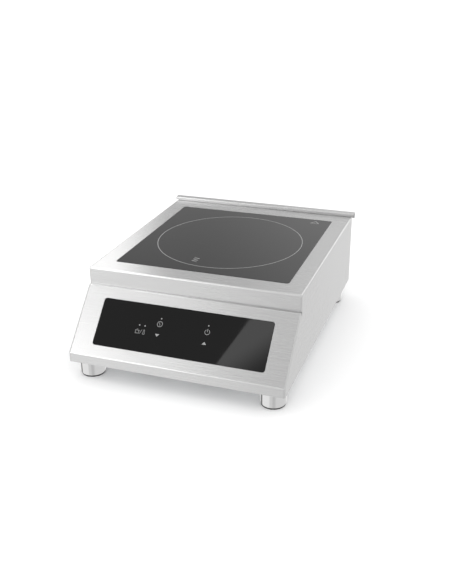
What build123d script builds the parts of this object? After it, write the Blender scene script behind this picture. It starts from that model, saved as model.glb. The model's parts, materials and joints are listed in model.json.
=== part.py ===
from build123d import *
import math
import os

# ---------------------------------------------------------------------------
# Table-top commercial induction hob, one cooking zone.
# Millimetres. +Z up, the control side faces -Y, +X is to the right of a
# person who stands in front of it. Everything is laid out with Y measured
# from the face of the top band and Z from the floor; the whole object is
# then shifted along Y so that the origin is the middle of its footprint.
# ---------------------------------------------------------------------------

# ---- housing --------------------------------------------------------------
W = 397.0            # width over the side panels
D = 416.0            # band face to rear panel
T = 1.2              # sheet thickness
Z_BOT = 33.0         # lower edge of the housing
Z_TOP = 176.0        # top sheet, outer face
BAND = 31.0          # height of the vertical band under the top sheet
LEDGE = 5.0          # console stands this far in front of the band
Y_FRONT = -96.0      # lower front strip, outer face
Z_KNEE = 50.5        # where the slope turns into the lower strip
R_TOP = 2.6          # outer bend radius, top sheet to sides and band
R_EDGE = 3.2         # outer bend radius, console to sides
R_KNEE = 3.0
SEAM = 0.1           # joint line between console and cover
FLANGE = 14.0        # inward return flanges at the bottom
Z_BAND = Z_TOP - BAND

# ---- rear rail ------------------------------------------------------------
RAIL_UP = 7.0
RAIL_DEPTH = 14.0
RAIL_OVER = 3.0      # overhang at each side
RAIL_DROP = 13.0     # height of the rear leg
RAIL_HEM = 1.6       # folded hem that stands in front of the rail's front leg
RAIL_GAP = 1.3       # open gap between hem and top sheet

# ---- hob glass ------------------------------------------------------------
GX = 327.0
GY = 334.0
GY0 = 40.5           # front edge of the glass
G_T = 6.0
G_R = 4.0
JOINT = 1.5          # silicone joint around the glass
GCY = GY0 + GY / 2   # centre of glass and zone

# ---- touch glass on the slope --------------------------------------------
TX = 317.0
TS0, TS1 = 21.5, 109.5   # from and to, measured down the slope
T_R = 4.5
TG_T = 3.0

# ---- feet -----------------------------------------------------------------
FOOT_X = 170.0
FOOT_Y = (-64.0, 372.0)
FOOT_R = 22.0
FOOT_TRAVEL = 12.0
STUD_R = 5.0         # M10
PITCH = 1.5

# ---- fans, coil, boards ---------------------------------------------------
FAN_X = 56.0
FAN_Y = -16.0
FAN = 92.0
FAN_H = 25.4
COIL_RO, COIL_RI = 134.0, 32.0
BOARD_Z = 92.0

# ---- rear fittings --------------------------------------------------------
GLAND_X, GLAND_Z = -120.0, 66.0
CABLE_R = 5.5
STUD6_X, STUD6_Z = -166.0, 60.0

PARTS = {}


def put(name, shape):
    PARTS[name] = shape


def B(x0, x1, y0, y1, z0, z1):
    return Pos((x0 + x1) / 2, (y0 + y1) / 2, (z0 + z1) / 2) * Box(abs(x1 - x0), abs(y1 - y0), abs(z1 - z0))


def CZ(x, y, z0, z1, r):
    return Pos(x, y, (z0 + z1) / 2) * Cylinder(r, z1 - z0)


def CY(x, z, y0, y1, r):
    return Pos(x, (y0 + y1) / 2, z) * Rot(90, 0, 0) * Cylinder(r, y1 - y0)


def tube_z(x, y, z0, z1, ro, ri):
    return CZ(x, y, z0, z1, ro) - CZ(x, y, z0 - 1, z1 + 1, ri)


def tube_y(x, z, y0, y1, ro, ri):
    return CY(x, z, y0, y1, ro) - CY(x, z, y0 - 1, y1 + 1, ri)


def prism_x(pts, x0, x1):
    """Polygon in (y, z), extruded along X from x0 to x1."""
    f = make_face(Polyline(*[(p[0], p[1]) for p in pts], close=True))
    s = extrude(f, amount=x1 - x0)
    return Location(Plane(origin=(x0, 0, 0), x_dir=(0, 1, 0), z_dir=(1, 0, 0))) * s


def prism_y(pts, y0, y1):
    """Polygon in (x, z), extruded along Y from y0 to y1."""
    f = make_face(Polyline(*[(p[0], p[1]) for p in pts], close=True))
    s = extrude(f, amount=y1 - y0)
    return Location(Plane(origin=(0, y1, 0), x_dir=(1, 0, 0), z_dir=(0, -1, 0))) * s


def rrect_z(cx, cy, lx, ly, r, z0, z1):
    return Pos(cx, cy, z0) * extrude(RectangleRounded(lx, ly, r), amount=z1 - z0)


def hex_z(x, y, z0, z1, af, turn=0.0):
    return Pos(x, y, z0) * Rot(0, 0, turn) * extrude(RegularPolygon(af / 2, 6, major_radius=False), amount=z1 - z0)


def hex_y(x, z, y0, y1, af):
    return Pos(x, y1, z) * Rot(90, 0, 0) * extrude(RegularPolygon(af / 2, 6, major_radius=False), amount=y1 - y0)


def union(items):
    items = list(items)
    out = items[0]
    for i in items[1:]:
        out = out + i
    return out


def group(items):
    """Separate solids that share one node."""
    solids = []
    for i in items:
        solids.extend(i.solids())
    return Compound(children=solids)


def screw_down(x, y, z, length=8.0, r=2.0, head_r=3.9, head_h=2.4):
    """Pan head screw from below: head under z, shank up from z."""
    s = CZ(x, y, z - head_h, z, head_r) + CZ(x, y, z - 0.01, z + length, r)
    edge = s.edges().filter_by(GeomType.CIRCLE).sort_by(Axis.Z)[0]
    s = fillet(edge, 0.9)
    s = s - B(x - 2.1, x + 2.1, y - 0.45, y + 0.45, z - head_h - 1, z - head_h + 1.3)
    s = s - B(x - 0.45, x + 0.45, y - 2.1, y + 2.1, z - head_h - 1, z - head_h + 1.3)
    return s


def screw_up(x, y, z, length=8.0, r=2.0, head_r=3.9, head_h=2.4):
    """Pan head screw from above: head over z, shank down from z."""
    s = CZ(x, y, z, z + head_h, head_r) + CZ(x, y, z - length, z + 0.01, r)
    edge = s.edges().filter_by(GeomType.CIRCLE).sort_by(Axis.Z)[-1]
    s = fillet(edge, 0.9)
    s = s - B(x - 2.1, x + 2.1, y - 0.45, y + 0.45, z + head_h - 1.3, z + head_h + 1)
    s = s - B(x - 0.45, x + 0.45, y - 2.1, y + 2.1, z + head_h - 1.3, z + head_h + 1)
    return s


def screw_rear(x, z, y, length=8.0, r=2.0, head_r=3.9, head_h=2.4):
    """Pan head screw from the rear: head behind y, shank towards the front."""
    s = CY(x, z, y, y + head_h, head_r) + CY(x, z, y - length, y + 0.01, r)
    edge = s.edges().filter_by(GeomType.CIRCLE).sort_by(Axis.Y)[-1]
    s = fillet(edge, 0.9)
    s = s - B(x - 2.1, x + 2.1, y + head_h - 1.3, y + head_h + 1, z - 0.45, z + 0.45)
    s = s - B(x - 0.45, x + 0.45, y + head_h - 1.3, y + head_h + 1, z - 2.1, z + 2.1)
    return s


# ---------------------------------------------------------------------------
# Housing: one outer body and one inner body, their difference is the skin.
# ---------------------------------------------------------------------------
SLOPE_TOP = (-LEDGE, Z_BAND)
SLOPE_BOT = (Y_FRONT, Z_KNEE)
_dy, _dz = SLOPE_BOT[0] - SLOPE_TOP[0], SLOPE_BOT[1] - SLOPE_TOP[1]
SLOPE_L = math.hypot(_dy, _dz)
DY, DZ = _dy / SLOPE_L, _dz / SLOPE_L         # down the slope
NY, NZ = DZ, -DY                              # outward normal in (y, z)

XH = W / 2
outline = [(D, Z_BOT), (Y_FRONT, Z_BOT), SLOPE_BOT, SLOPE_TOP, (0, Z_BAND), (0, Z_TOP), (D, Z_TOP)]


def near(e, y, z, tol=0.6):
    c = e.center()
    return abs(c.Y - y) < tol and abs(c.Z - z) < tol


def rounded_body(pts, half, r_side, r_top, r_edge, r_knee):
    """Extruded outline with its bends rounded. pts as in outline."""
    b = prism_x(pts, -half, half)
    sb, st = pts[2], pts[3]
    # knee and ledge bends, along X
    along = [e for e in b.edges().filter_by(Axis.X) if near(e, *sb) or near(e, *st)]
    b = fillet(along, r_knee)
    # console to sides
    sel = []
    for e in b.edges():
        c = e.center()
        if abs(abs(c.X) - half) < 0.01:
            on_strip = abs(c.Y - pts[1][0]) < 0.05 and c.Z < sb[1]
            mid_t = (c.Y - st[0]) * DY + (c.Z - st[1]) * DZ
            off = abs((c.Y - st[0]) * NY + (c.Z - st[1]) * NZ)
            on_slope = off < r_knee and -4 < mid_t < SLOPE_L + 4
            if on_strip or on_slope:
                sel.append(e)
    b = fillet(sel, r_edge)
    # top sheet to sides, to the band, and the band's upright corners
    sel = []
    for e in b.edges():
        c = e.center()
        if abs(c.Z - pts[5][1]) < 0.01 and (abs(abs(c.X) - half) < 0.01 or abs(c.Y - pts[5][0]) < 0.01):
            sel.append(e)
        elif abs(abs(c.X) - half) < 0.01 and abs(c.Y - pts[5][0]) < 0.01 and c.Z > pts[4][1] + 1:
            sel.append(e)
    b = fillet(sel, r_top)
    return b


def offset_outline(t):
    # inner slope line is the outer one moved by t against the normal
    a = (SLOPE_TOP[0] - NY * t, SLOPE_TOP[1] - NZ * t)
    # meets y = Y_FRONT + t
    s = (Y_FRONT + t - a[0]) / DY
    knee = (Y_FRONT + t, a[1] + DZ * s)
    # meets z = Z_BAND - t
    s = (Z_BAND - t - a[1]) / DZ
    top = (a[0] + DY * s, Z_BAND - t)
    return [(D + 50, Z_BOT - 30), (Y_FRONT + t, Z_BOT - 30), knee, top, (t, Z_BAND - t), (t, Z_TOP - t), (D + 50, Z_TOP - t)]


outer_body = rounded_body(outline, XH, R_EDGE, R_TOP, R_EDGE, R_KNEE)
inner_body = rounded_body(offset_outline(T), XH - T, R_EDGE, R_TOP - T, R_EDGE - T, R_KNEE - T)
skin = outer_body - inner_body

# what belongs to the console sheet: a layer behind the front faces
_dep = 4.5


def front_zone(dep, top_gap):
    a = (SLOPE_TOP[0] - NY * dep, SLOPE_TOP[1] - NZ * dep)
    s = (Y_FRONT + dep - a[0]) / DY
    knee = (Y_FRONT + dep, a[1] + DZ * s)
    s = (0.0 - a[0]) / DY
    top = (0.0 + top_gap, a[1] + DZ * s)
    return prism_x([(-130, 0), (Y_FRONT + dep, 0), knee, top, (top_gap, Z_BAND + (SEAM if top_gap else 0)), (-130, Z_BAND + (SEAM if top_gap else 0))], -300, 300)


front_skin = skin & front_zone(_dep, 0.0)
cover_skin = skin - front_zone(_dep + SEAM, 0.01)
cover_skin = cover_skin - B(-300, 300, -1, T + 0.5, Z_BAND - 6, Z_BAND + SEAM)

# ---- cover: skin, glass cut-out, return flanges ---------------------------
CUT_X, CUT_Y = GX + 2 * JOINT, GY + 2 * JOINT
xi = XH - T
Z_FL = Z_BOT + T
base_screws = [(sx * 190.0, y) for sx in (-1, 1) for y in (-30.0, 90.0, 210.0, 330.0)] + [(sx * 95.0, Y_FRONT + 9.0) for sx in (-1, 1)] + [(sx * 95.0, D - 8.6) for sx in (-1, 1)]
cover = cover_skin - rrect_z(0, GCY, CUT_X, CUT_Y, G_R + JOINT, Z_TOP - 5, Z_TOP + 5)
cover = cover - B(-300, 300, D, D + 100, 0, 300)
flange_y0 = Y_FRONT + 22.0
for sx in (-1, 1):
    cover = cover + B(sx * (xi - FLANGE), sx * (xi + 0.4), flange_y0, D - 18.0, Z_BOT, Z_FL)
# rear return flanges that the rear panel is screwed to
for sx in (-1, 1):
    cover = cover + B(sx * (xi - FLANGE), sx * (xi + 0.4), D - 2.6, D - 1.4, Z_BOT + 6, Z_TOP - 4)
cover = cover + B(-(xi - 3), xi - 3, D - 2.6, D - 1.4, Z_TOP - 28, Z_TOP - T + 0.4)
rear_screw_side = [(sx * 190.0, z) for sx in (-1, 1) for z in (52.0, 100.0)]
rear_screw_top = [(x, Z_TOP - 21.0) for x in (-150.0, -50.0, 50.0, 150.0)]
for x, y in base_screws:
    cover = cover - CZ(x, y, Z_BOT - 3, Z_FL + 3, 2.05)
for x, z in rear_screw_side + rear_screw_top:
    cover = cover - CY(x, z, D - 5, D + 5, 2.05)
put("housing_cover", cover)

# ---- console front --------------------------------------------------------
SP = Location(Plane(origin=(0, SLOPE_TOP[0], SLOPE_TOP[1]), x_dir=(1, 0, 0), z_dir=(0, NY, NZ)))
# local frame: x along X, y up the slope, z out of the sheet; a point s down the slope has y = -s


def SB(x0, x1, s0, s1, n0, n1):
    return SP * B(x0, x1, -s1, -s0, n0, n1)


def SR(cx, s, lx, ls, r, n0, n1):
    return SP * (Pos(cx, -s, n0) * extrude(RectangleRounded(lx, ls, r), amount=n1 - n0))


def SC(x, s, n0, n1, r):
    return SP * (Pos(x, -s, (n0 + n1) / 2) * Cylinder(r, n1 - n0))


TSC = (TS0 + TS1) / 2
TSL = TS1 - TS0
console = front_skin - SR(0, TSC, TX + 0.8, TSL + 0.8, T_R + 0.4, -6, 6)
# ledge continues under the band and turns up behind it
console = console + B(-(xi - 1.5), xi - 1.5, -2.0, 2.6, Z_BAND - T, Z_BAND) + B(-(xi - 6), xi - 6, 1.4, 2.6, Z_BAND - T, Z_BAND + 9)
# side flanges inside the side panels
_f = [(SLOPE_TOP[0] + DY * 12 - NY * 1.0, SLOPE_TOP[1] + DZ * 12 - NZ * 1.0), (SLOPE_TOP[0] + DY * 122 - NY * 1.0, SLOPE_TOP[1] + DZ * 122 - NZ * 1.0),
      (SLOPE_TOP[0] + DY * 118 - NY * 15.0, SLOPE_TOP[1] + DZ * 118 - NZ * 15.0), (SLOPE_TOP[0] + DY * 16 - NY * 15.0, SLOPE_TOP[1] + DZ * 16 - NZ * 15.0)]
for sx in (-1, 1):
    a, b = sorted((sx * (xi - 0.3 - T), sx * (xi - 0.3)))
    console = console + (prism_x(_f, a, b) - SB(-300, 300, -50, 300, -0.6, 50))
# bottom return flange
console = console + B(-(xi - 4), xi - 4, Y_FRONT + 1.0, Y_FRONT + 17.0, Z_BOT, Z_FL)
for x, y in base_screws:
    console = console - CZ(x, y, Z_BOT - 3, Z_FL + 3, 2.05)
# weld studs that hold the control tray
tray_studs = [(x, s) for x in (-120.0, 0.0, 120.0) for s in (TS0 - 7.0, TS1 + 7.0)]
for x, s in tray_studs:
    console = console + SC(x, s, -9.0, -T + 0.2, 1.5)
put("front_panel", console)

# ---- rear panel -----------------------------------------------------------
rear = B(-(xi - 0.2), xi - 0.2, D - T, D, Z_BOT, Z_TOP - T - 0.2)
rear = rear + B(-(xi - 4), xi - 4, D - 17.0, D - 1.0, Z_BOT, Z_FL)
for x, z in rear_screw_side + rear_screw_top:
    rear = rear - CY(x, z, D - 5, D + 5, 2.05)
for x, y in base_screws:
    rear = rear - CZ(x, y, Z_BOT - 3, Z_FL + 3, 2.05)
slots = []
for cx in (-52.0, 28.0, 108.0):
    for k in range(7):
        z = 62.0 + 11.0 * k
        slots.append(Pos(cx, D - T - 3, z) * Rot(-90, 0, 0) * extrude(SlotOverall(62.0, 4.0), amount=T + 6))
for s in slots:
    rear = rear - s
rear = rear - CY(GLAND_X, GLAND_Z, D - 5, D + 5, 10.1) - CY(STUD6_X, STUD6_Z, D - 5, D + 5, 3.1)
plate_x, plate_z = -120.0, 110.0
for sx in (-1, 1):
    rear = rear - CY(plate_x + sx * 27.0, plate_z, D - 5, D + 5, 1.55)
rear = rear - union([prism_y([(sx * (xi + 2), Z_TOP - T - 3.2), (sx * (xi + 2), Z_TOP + 2), (sx * (xi - 3.2), Z_TOP + 2), (sx * (xi - 3.2), Z_TOP - T + 1.4)], D - 5, D + 5) for sx in (-1, 1)])
put("rear_panel", rear)

# ---- rear rail: inverted channel ------------------------------------------
RX = XH + RAIL_OVER
Z_RAIL = Z_TOP + RAIL_UP
rail = prism_x([(D + 0.0, Z_TOP - 28), (D + T, Z_TOP - 28), (D + T, Z_RAIL - T), (D + RAIL_DEPTH - T, Z_RAIL - T),
                (D + RAIL_DEPTH - T, Z_RAIL - RAIL_DROP), (D + RAIL_DEPTH, Z_RAIL - RAIL_DROP), (D + RAIL_DEPTH, Z_RAIL), (D - RAIL_HEM, Z_RAIL),
                (D - RAIL_HEM, Z_TOP + RAIL_GAP), (D + 0.0, Z_TOP + RAIL_GAP)], -RX, RX)
rail_edges = [e for e in rail.edges().filter_by(Axis.X) if abs(e.center().Z - Z_RAIL) < 0.01]
rail = fillet(rail_edges, 1.9)
rail_edges = [e for e in rail.edges().filter_by(Axis.X) if abs(e.center().Z - (Z_RAIL - T)) < 0.01]
rail = fillet(rail_edges, 0.7)
for x, z in rear_screw_top:
    rail = rail - CY(x, z, D - 5, D + 5, 2.05)
# the channel's front leg is only as wide as the panel below the top sheet
for sx in (-1, 1):
    a, b = sorted((sx * (xi - 1.0), sx * (RX + 5)))
    rail = rail - B(a, b, D - 1, D + 4, 100, Z_TOP + RAIL_GAP)
put("rear_rail", rail)

# ---- base plate with fan intakes ------------------------------------------
Z_BASE = Z_BOT - T
base = rrect_z(0, (Y_FRONT + D) / 2, 2 * (XH - 3), D - Y_FRONT - 6, 3.0, Z_BASE, Z_BOT)
grille = []
for sx in (-1, 1):
    cx = sx * FAN_X
    for k in range(-5, 6):
        y = FAN_Y + k * 7.0
        half = math.sqrt(max(0.0, 40.0 ** 2 - (k * 7.0) ** 2))
        if half > 10:
            grille.append(Pos(cx, y, Z_BASE - 2) * extrude(SlotOverall(2 * half, 3.8), amount=T + 4))
for g in grille:
    base = base - g
# extra intake slots under the coil
for k in range(7):
    base = base - Pos(0, 120.0 + 22.0 * k, Z_BASE - 2) * extrude(SlotOverall(120.0, 3.8), amount=T + 4)
for x, y in base_screws:
    base = base - CZ(x, y, Z_BASE - 3, Z_BOT + 3, 2.05)
fan_holes = [(sx * FAN_X + a, FAN_Y + b) for sx in (-1, 1) for a in (-41.25, 41.25) for b in (-41.25, 41.25)]
for x, y in fan_holes:
    base = base - CZ(x, y, Z_BASE - 3, Z_BOT + 3, 2.05)
feet_at = [(sx * FOOT_X, y) for y in FOOT_Y for sx in (-1, 1)]
for x, y in feet_at:
    base = base - CZ(x, y, Z_BASE - 3, Z_BOT + 3, 4.05)
board_posts = [(sx * 103.0, y) for sx in (-1, 1) for y in (78.0, 184.0, 290.0)]
pillars = [(sx * 140.0, GCY + sy * 142.0) for sx in (-1, 1) for sy in (-1, 1)]
for x, y in board_posts + pillars:
    base = base - CZ(x, y, Z_BASE - 3, Z_BOT + 3, 2.05)
put("base_plate", base)

# ---------------------------------------------------------------------------
# Hob glass, its frame and seal
# ---------------------------------------------------------------------------
put("ceramic_glass", chamfer(rrect_z(0, GCY, GX, GY, G_R, Z_TOP - G_T, Z_TOP).edges().group_by(Axis.Z)[-1], 0.5))
Z_LEDGE = Z_TOP - G_T - 0.8
frame_ring = (rrect_z(0, GCY, CUT_X + 2 * T, CUT_Y + 2 * T, 6, Z_LEDGE - T, Z_TOP - T) - rrect_z(0, GCY, CUT_X, CUT_Y, 4.5, Z_LEDGE, Z_TOP + 1)) - rrect_z(0, GCY, GX - 22, GY - 22, 4, Z_LEDGE - 5, Z_LEDGE + 1)
frame_ring = frame_ring + (rrect_z(0, GCY, CUT_X + 22, CUT_Y + 22, 8, Z_TOP - 2 * T, Z_TOP - T) - rrect_z(0, GCY, CUT_X + T, CUT_Y + T, 5, Z_TOP - 10, Z_TOP + 1))
put("glass_frame", frame_ring)
seal = rrect_z(0, GCY, CUT_X, CUT_Y, 4.5, Z_LEDGE, Z_TOP - 0.35) - rrect_z(0, GCY, GX, GY, G_R, Z_TOP - G_T, Z_TOP + 1) - rrect_z(0, GCY, GX - 20, GY - 20, 4, Z_LEDGE - 5, Z_TOP - G_T + 1)
put("glass_seal", seal & rrect_z(0, GCY, CUT_X, CUT_Y, G_R + JOINT, 0, 300))

# ---------------------------------------------------------------------------
# Touch control behind the slope
# ---------------------------------------------------------------------------
tg = SR(0, TSC, TX, TSL, T_R, -TG_T + 0.3, 0.3)
put("touch_glass", tg)
gasket = SR(0, TSC, TX + 12, TSL + 9, 6, -3.6, -TG_T + 0.3) - SR(0, TSC, TX - 12, TSL - 12, 3, -6, 0)
gasket = gasket & SB(-(TX / 2 + 5.9), TX / 2 + 5.9, TS0 - 4, TS1 + 4, -5, 0)
put("touch_glass_gasket", gasket)
tray = SR(0, TSC, TX + 26, TSL + 24, 5, -17.0, -T - 0.05)
tray = tray - SR(0, TSC, TX + 12.4, TSL + 9.4, 6, -3.6, 5)
tray = tray - SR(0, TSC, TX - 12, TSL - 12, 3, -15.0, 5)
for x, s in tray_studs:
    tray = tray - SC(x, s, -30, 5, 1.6) - SC(x, s, -30, -6.2, 3.4)
tray = tray - SR(-119, TSC + 18, 30, 12, 2, -30, -14)      # cable slot at the back
put("control_tray", tray)
tray_nuts = [SP * (Pos(x, -s, -8.6) * extrude(RegularPolygon(2.75, 6, major_radius=False), amount=2.35)) - SC(x, s, -20, 0, 1.52) for x, s in tray_studs]
put("tray_nuts", group(tray_nuts))
PCB_N = -11.0
pcb = SR(0, TSC, TX - 14, TSL - 14, 1.5, PCB_N - 1.6, PCB_N)
pcb = pcb + SB(-131, -107, TSC + 14, TSC + 22, PCB_N - 2.8, PCB_N - 1.5)   # connector on the back
put("control_board", pcb)
KEYS = [(-75.0, 71.0), (-43.0, 53.0), (-43.0, 75.5), (45.0, 54.5), (45.0, 77.0)]
LEDS = [(-79.5, 61.0), (-69.0, 61.0), (-43.0, 43.5), (45.0, 43.5)]
disp = []
for x in (-13.0, 15.0):
    disp.append(SB(x - 12.5, x + 12.5, 46.0, 65.0, PCB_N, -3.1) - SB(x - 10.5, x + 10.5, 48.0, 63.0, -3.6, 0))
put("display_modules", group(disp))
put("touch_springs", group([SC(x, s, PCB_N, -TG_T + 0.28, 4.0) - SC(x, s, PCB_N - 1, 0, 2.6) for x, s in KEYS]))
put("indicator_leds", group([SC(x, s, PCB_N, -5.2, 1.5) for x, s in LEDS]))

# ---------------------------------------------------------------------------
# Coil stack under the glass
# ---------------------------------------------------------------------------
Z_G = Z_TOP - G_T                       # underside of the glass
put("insulation_disc", tube_z(0, GCY, Z_G - 1.8, Z_G - 0.4, COIL_RO + 5, 10.0))
Z_C1, Z_C0 = Z_G - 2.0, Z_G - 7.0
turns = 22
pw = (COIL_RO - COIL_RI) / turns
# the winding's section: wires side by side
pts_top, pts_bot = [], []
sec = None
with BuildSketch() as sk:
    with BuildLine() as ln:
        prev = (COIL_RI, (Z_C0 + Z_C1) / 2)
        Line(prev, (COIL_RI, Z_C1 - 0.8))
        p = (COIL_RI, Z_C1 - 0.8)
        for i in range(turns):
            q0 = (COIL_RI + pw * (i + 0.5), Z_C1)
            q1 = (COIL_RI + pw * (i + 1), Z_C1 - 0.8)
            ThreePointArc(p, q0, q1)
            p = q1
        Line(p, (COIL_RO, Z_C0 + 0.8))
        p = (COIL_RO, Z_C0 + 0.8)
        for i in range(turns):
            q0 = (COIL_RO - pw * (i + 0.5), Z_C0)
            q1 = (COIL_RO - pw * (i + 1), Z_C0 + 0.8)
            ThreePointArc(p, q0, q1)
            p = q1
        Line(p, prev)
    make_face()
coil = revolve(Plane.XZ * sk.sketch, Axis.Z)
put("coil_winding", Pos(0, GCY, 0) * coil)
Z_F0 = Z_C0 - 3.0
former = tube_z(0, GCY, Z_F0, Z_C0, COIL_RO + 6, COIL_RI - 6)
for k in range(8):
    ang = math.radians(22.5 + 45 * k)
    c = Pos(0, GCY, 0) * Rot(0, 0, 22.5 + 45 * k) * Pos(84, 0, Z_F0 - 1) * extrude(RectangleRounded(78, 26, 5), amount=5)
    former = former - c
former = former + (tube_z(0, GCY, Z_F0, Z_C0 + 4.4, COIL_RI - 1.0, COIL_RI - 3.0))
LEADS = [(-40.0, GCY - 118.0), (40.0, GCY - 118.0)]
for x, y in LEADS:
    former = former - CZ(x, y, Z_F0 - 1, Z_C0 + 1, 3.4)
put("coil_former", former)
ferr = []
for k in range(8):
    ferr.append(Pos(0, GCY, 0) * Rot(0, 0, 45 * k) * Pos(82, 0, Z_F0 - 4.6) * extrude(RectangleRounded(72, 15, 1.0), amount=4.55))
put("ferrite_bars", group(ferr))
Z_P1 = Z_F0 - 4.7
Z_P0 = Z_P1 - 2.0
plate = rrect_z(0, GCY, 300.0, 304.0, 12.0, Z_P0, Z_P1)
for k in range(4):
    plate = plate - Pos(0, GCY, 0) * Rot(0, 0, 45 + 90 * k) * Pos(70, 0, Z_P0 - 1) * extrude(RectangleRounded(34, 60, 8), amount=5)
for x, y in pillars:
    plate = plate - CZ(x, y, Z_P0 - 2, Z_P1 + 2, 2.05)
for x, y in LEADS:
    plate = plate - CZ(x, y, Z_P0 - 2, Z_P1 + 2, 4.5)
plate = plate - CZ(0, GCY, Z_P0 - 2, Z_P1 + 2, 7.0)
put("coil_plate", plate)
sensor = CZ(0, GCY, Z_P1 - 6.0, Z_G - 6.0, 6.5) + CZ(0, GCY, Z_P1, Z_P1 + 2.0, 12.0) + CZ(0, GCY, Z_G - 6.0, Z_G - 0.1, 4.5)
put("temperature_sensor", sensor)
posts = [hex_z(x, y, Z_BOT, Z_P0, 8.0) - CZ(x, y, Z_BOT - 1, Z_BOT + 9, 2.04) - CZ(x, y, Z_P0 - 9, Z_P0 + 1, 2.04) for x, y in pillars]

# ---------------------------------------------------------------------------
# Power electronics
# ---------------------------------------------------------------------------
hs_y0, hs_y1 = 72.0, 232.0
x = -92.0
comb = [(-92.0, 85.0), (-92.0, 45.0)]
while x < 91.0:
    comb += [(x + 2.0, 45.0), (x + 2.0, 77.0), (x + 8.0, 77.0), (x + 8.0, 45.0)]
    x += 8.0
comb = comb[:-2]
comb += [(92.0, 77.0), (92.0, 85.0)]
heat_sink = prism_y(comb, hs_y0, hs_y1)
put("heat_sink", heat_sink)
posts += [B(sx * 70 - 6, sx * 70 + 6, y - 8, y + 8, Z_BOT, 45.0) for sx in (-1, 1) for y in (92.0, 212.0)]
igbt = []
for cx in (-60.0, -20.0, 20.0, 60.0):
    igbt.append(B(cx - 8, cx + 8, 100.0, 121.0, 85.0, 90.0))
igbt.append(B(-20.0, 20.0, 170.0, 200.0, 85.0, 91.0))
put("power_modules", group(igbt))
board = B(-131, 112, 66, 300, BOARD_Z, BOARD_Z + 1.6)
for x, y in board_posts:
    board = board - CZ(x, y, BOARD_Z - 2, BOARD_Z + 4, 2.05)
TERM = [(-40.0, 104.0), (40.0, 104.0)]
for x, y in TERM:
    board = board + (B(x - 8, x + 8, y - 8, y + 8, BOARD_Z + 1.5, BOARD_Z + 12.0))
board = board + B(-130, -108, 68, 76.0, BOARD_Z + 1.5, BOARD_Z + 9.0)
put("power_board", board)
posts += [hex_z(x, y, Z_BOT, BOARD_Z, 8.0) - CZ(x, y, Z_BOT - 1, Z_BOT + 9, 2.04) - CZ(x, y, BOARD_Z - 9, BOARD_Z + 1, 2.04) for x, y in board_posts]
put("inner_posts", group(posts))
zb = BOARD_Z + 1.6
film = [fillet(B(-88, -50, 120 + 40 * k, 152 + 40 * k, zb, zb + 44).edges().filter_by(Axis.Z), 2.0) for k in range(2)]
film.append(fillet(B(50, 92, 118, 148, zb, zb + 40).edges().filter_by(Axis.Z), 2.0))
put("film_capacitors", group(film))
put("electrolytic_capacitors", group([fillet(CZ(62 + 28 * k, 246, zb, zb + 38, 12.0).edges().filter_by(GeomType.CIRCLE).sort_by(Axis.Z)[-1], 1.5) for k in range(2)]))
choke = Pos(0, 232, zb + 15.0) * Torus(19.0, 10.0)
choke = choke + (CZ(0, 232, zb, zb + 6.0, 23.0))
put("filter_choke", choke)
put("relays", group([fillet(B(-92 + 36 * k, -62 + 36 * k, 262, 288, zb, zb + 24).edges().filter_by(Axis.Z), 1.0) for k in range(2)]))

# ---- fans -----------------------------------------------------------------
FZ0 = Z_BOT
for side, sx in (("left", -1), ("right", 1)):
    cx, cy = sx * FAN_X, FAN_Y
    fr = rrect_z(cx, cy, FAN, FAN, 6.0, FZ0, FZ0 + FAN_H)
    fr = fr - CZ(cx, cy, FZ0 + 3.0, FZ0 + FAN_H + 1, 44.0) - CZ(cx, cy, FZ0 - 1, FZ0 + 4, 44.0)
    fr = fr + CZ(cx, cy, FZ0, FZ0 + 3.0, 19.0)
    for k in range(4):
        fr = fr + Pos(cx, cy, 0) * Rot(0, 0, 45 + 90 * k) * B(17.0, 45.5, -2.0, 2.0, FZ0, FZ0 + 3.0)
    fr = fr + CZ(cx, cy, FZ0 + 2.9, FZ0 + 9.0, 4.0)
    fr = fr - CZ(cx, cy, FZ0 + 1.0, FZ0 + 12.0, 1.55)
    for a in (-41.25, 41.25):
        for b in (-41.25, 41.25):
            fr = fr - CZ(cx + a, cy + b, FZ0 - 2, FZ0 + FAN_H + 2, 2.05)
            fr = fr - (CZ(cx + a, cy + b, FZ0 + 4.0, FZ0 + FAN_H - 4.0, 5.0) - CZ(cx, cy, FZ0, FZ0 + FAN_H, 46.0))
    put(f"fan_frame_{side}", fr)
    hub = CZ(cx, cy, FZ0 + 4.0, FZ0 + 23.0, 18.5) - CZ(cx, cy, FZ0 + 3.0, FZ0 + 21.0, 16.5)
    hub = fillet(hub.edges().filter_by(GeomType.CIRCLE).sort_by(Axis.Z)[-1], 1.5)
    hub = hub + CZ(cx, cy, FZ0 + 1.5, FZ0 + 22.0, 1.5)
    ring = tube_z(0, 0, FZ0 + 5.0, FZ0 + 22.0, 42.5, 17.6)
    blades = []
    for k in range(7):
        blade = Rot(0, 0, 360.0 / 7 * k) * Pos(30.0, 0, FZ0 + 13.5) * Rot(38, 0, 0) * Box(28.0, 24.0, 1.6)
        blades.append(blade & ring)
    rotor = hub
    for b in blades:
        rotor = rotor + Pos(cx, cy, 0) * b
    put(f"fan_rotor_{side}", rotor)

# ---- air duct over the fans -----------------------------------------------
DZ1 = 106.0
DZ0 = FZ0 + FAN_H + 0.1
duct = prism_x([(-63.0, DZ0), (-61.0, DZ0), (-23.4, DZ1 - 9.0), (58.0, DZ1 - 17.0), (58.0, DZ1 - 15.5), (-24.0, DZ1 - 7.5)], -106.0, 106.0)
for sx in (-1, 1):
    a, b = sorted((sx * 104.5, sx * 106.0))
    duct = duct + prism_x([(-62.6, DZ0), (58.0, DZ0), (58.0, DZ1 - 16.0), (-24.0, DZ1 - 8.0)], a, b)
for x, y in fan_holes:
    duct = duct - CZ(x, y, DZ0 - 5, DZ0 + 4.5, 5.5)
put("air_duct", duct)

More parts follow.
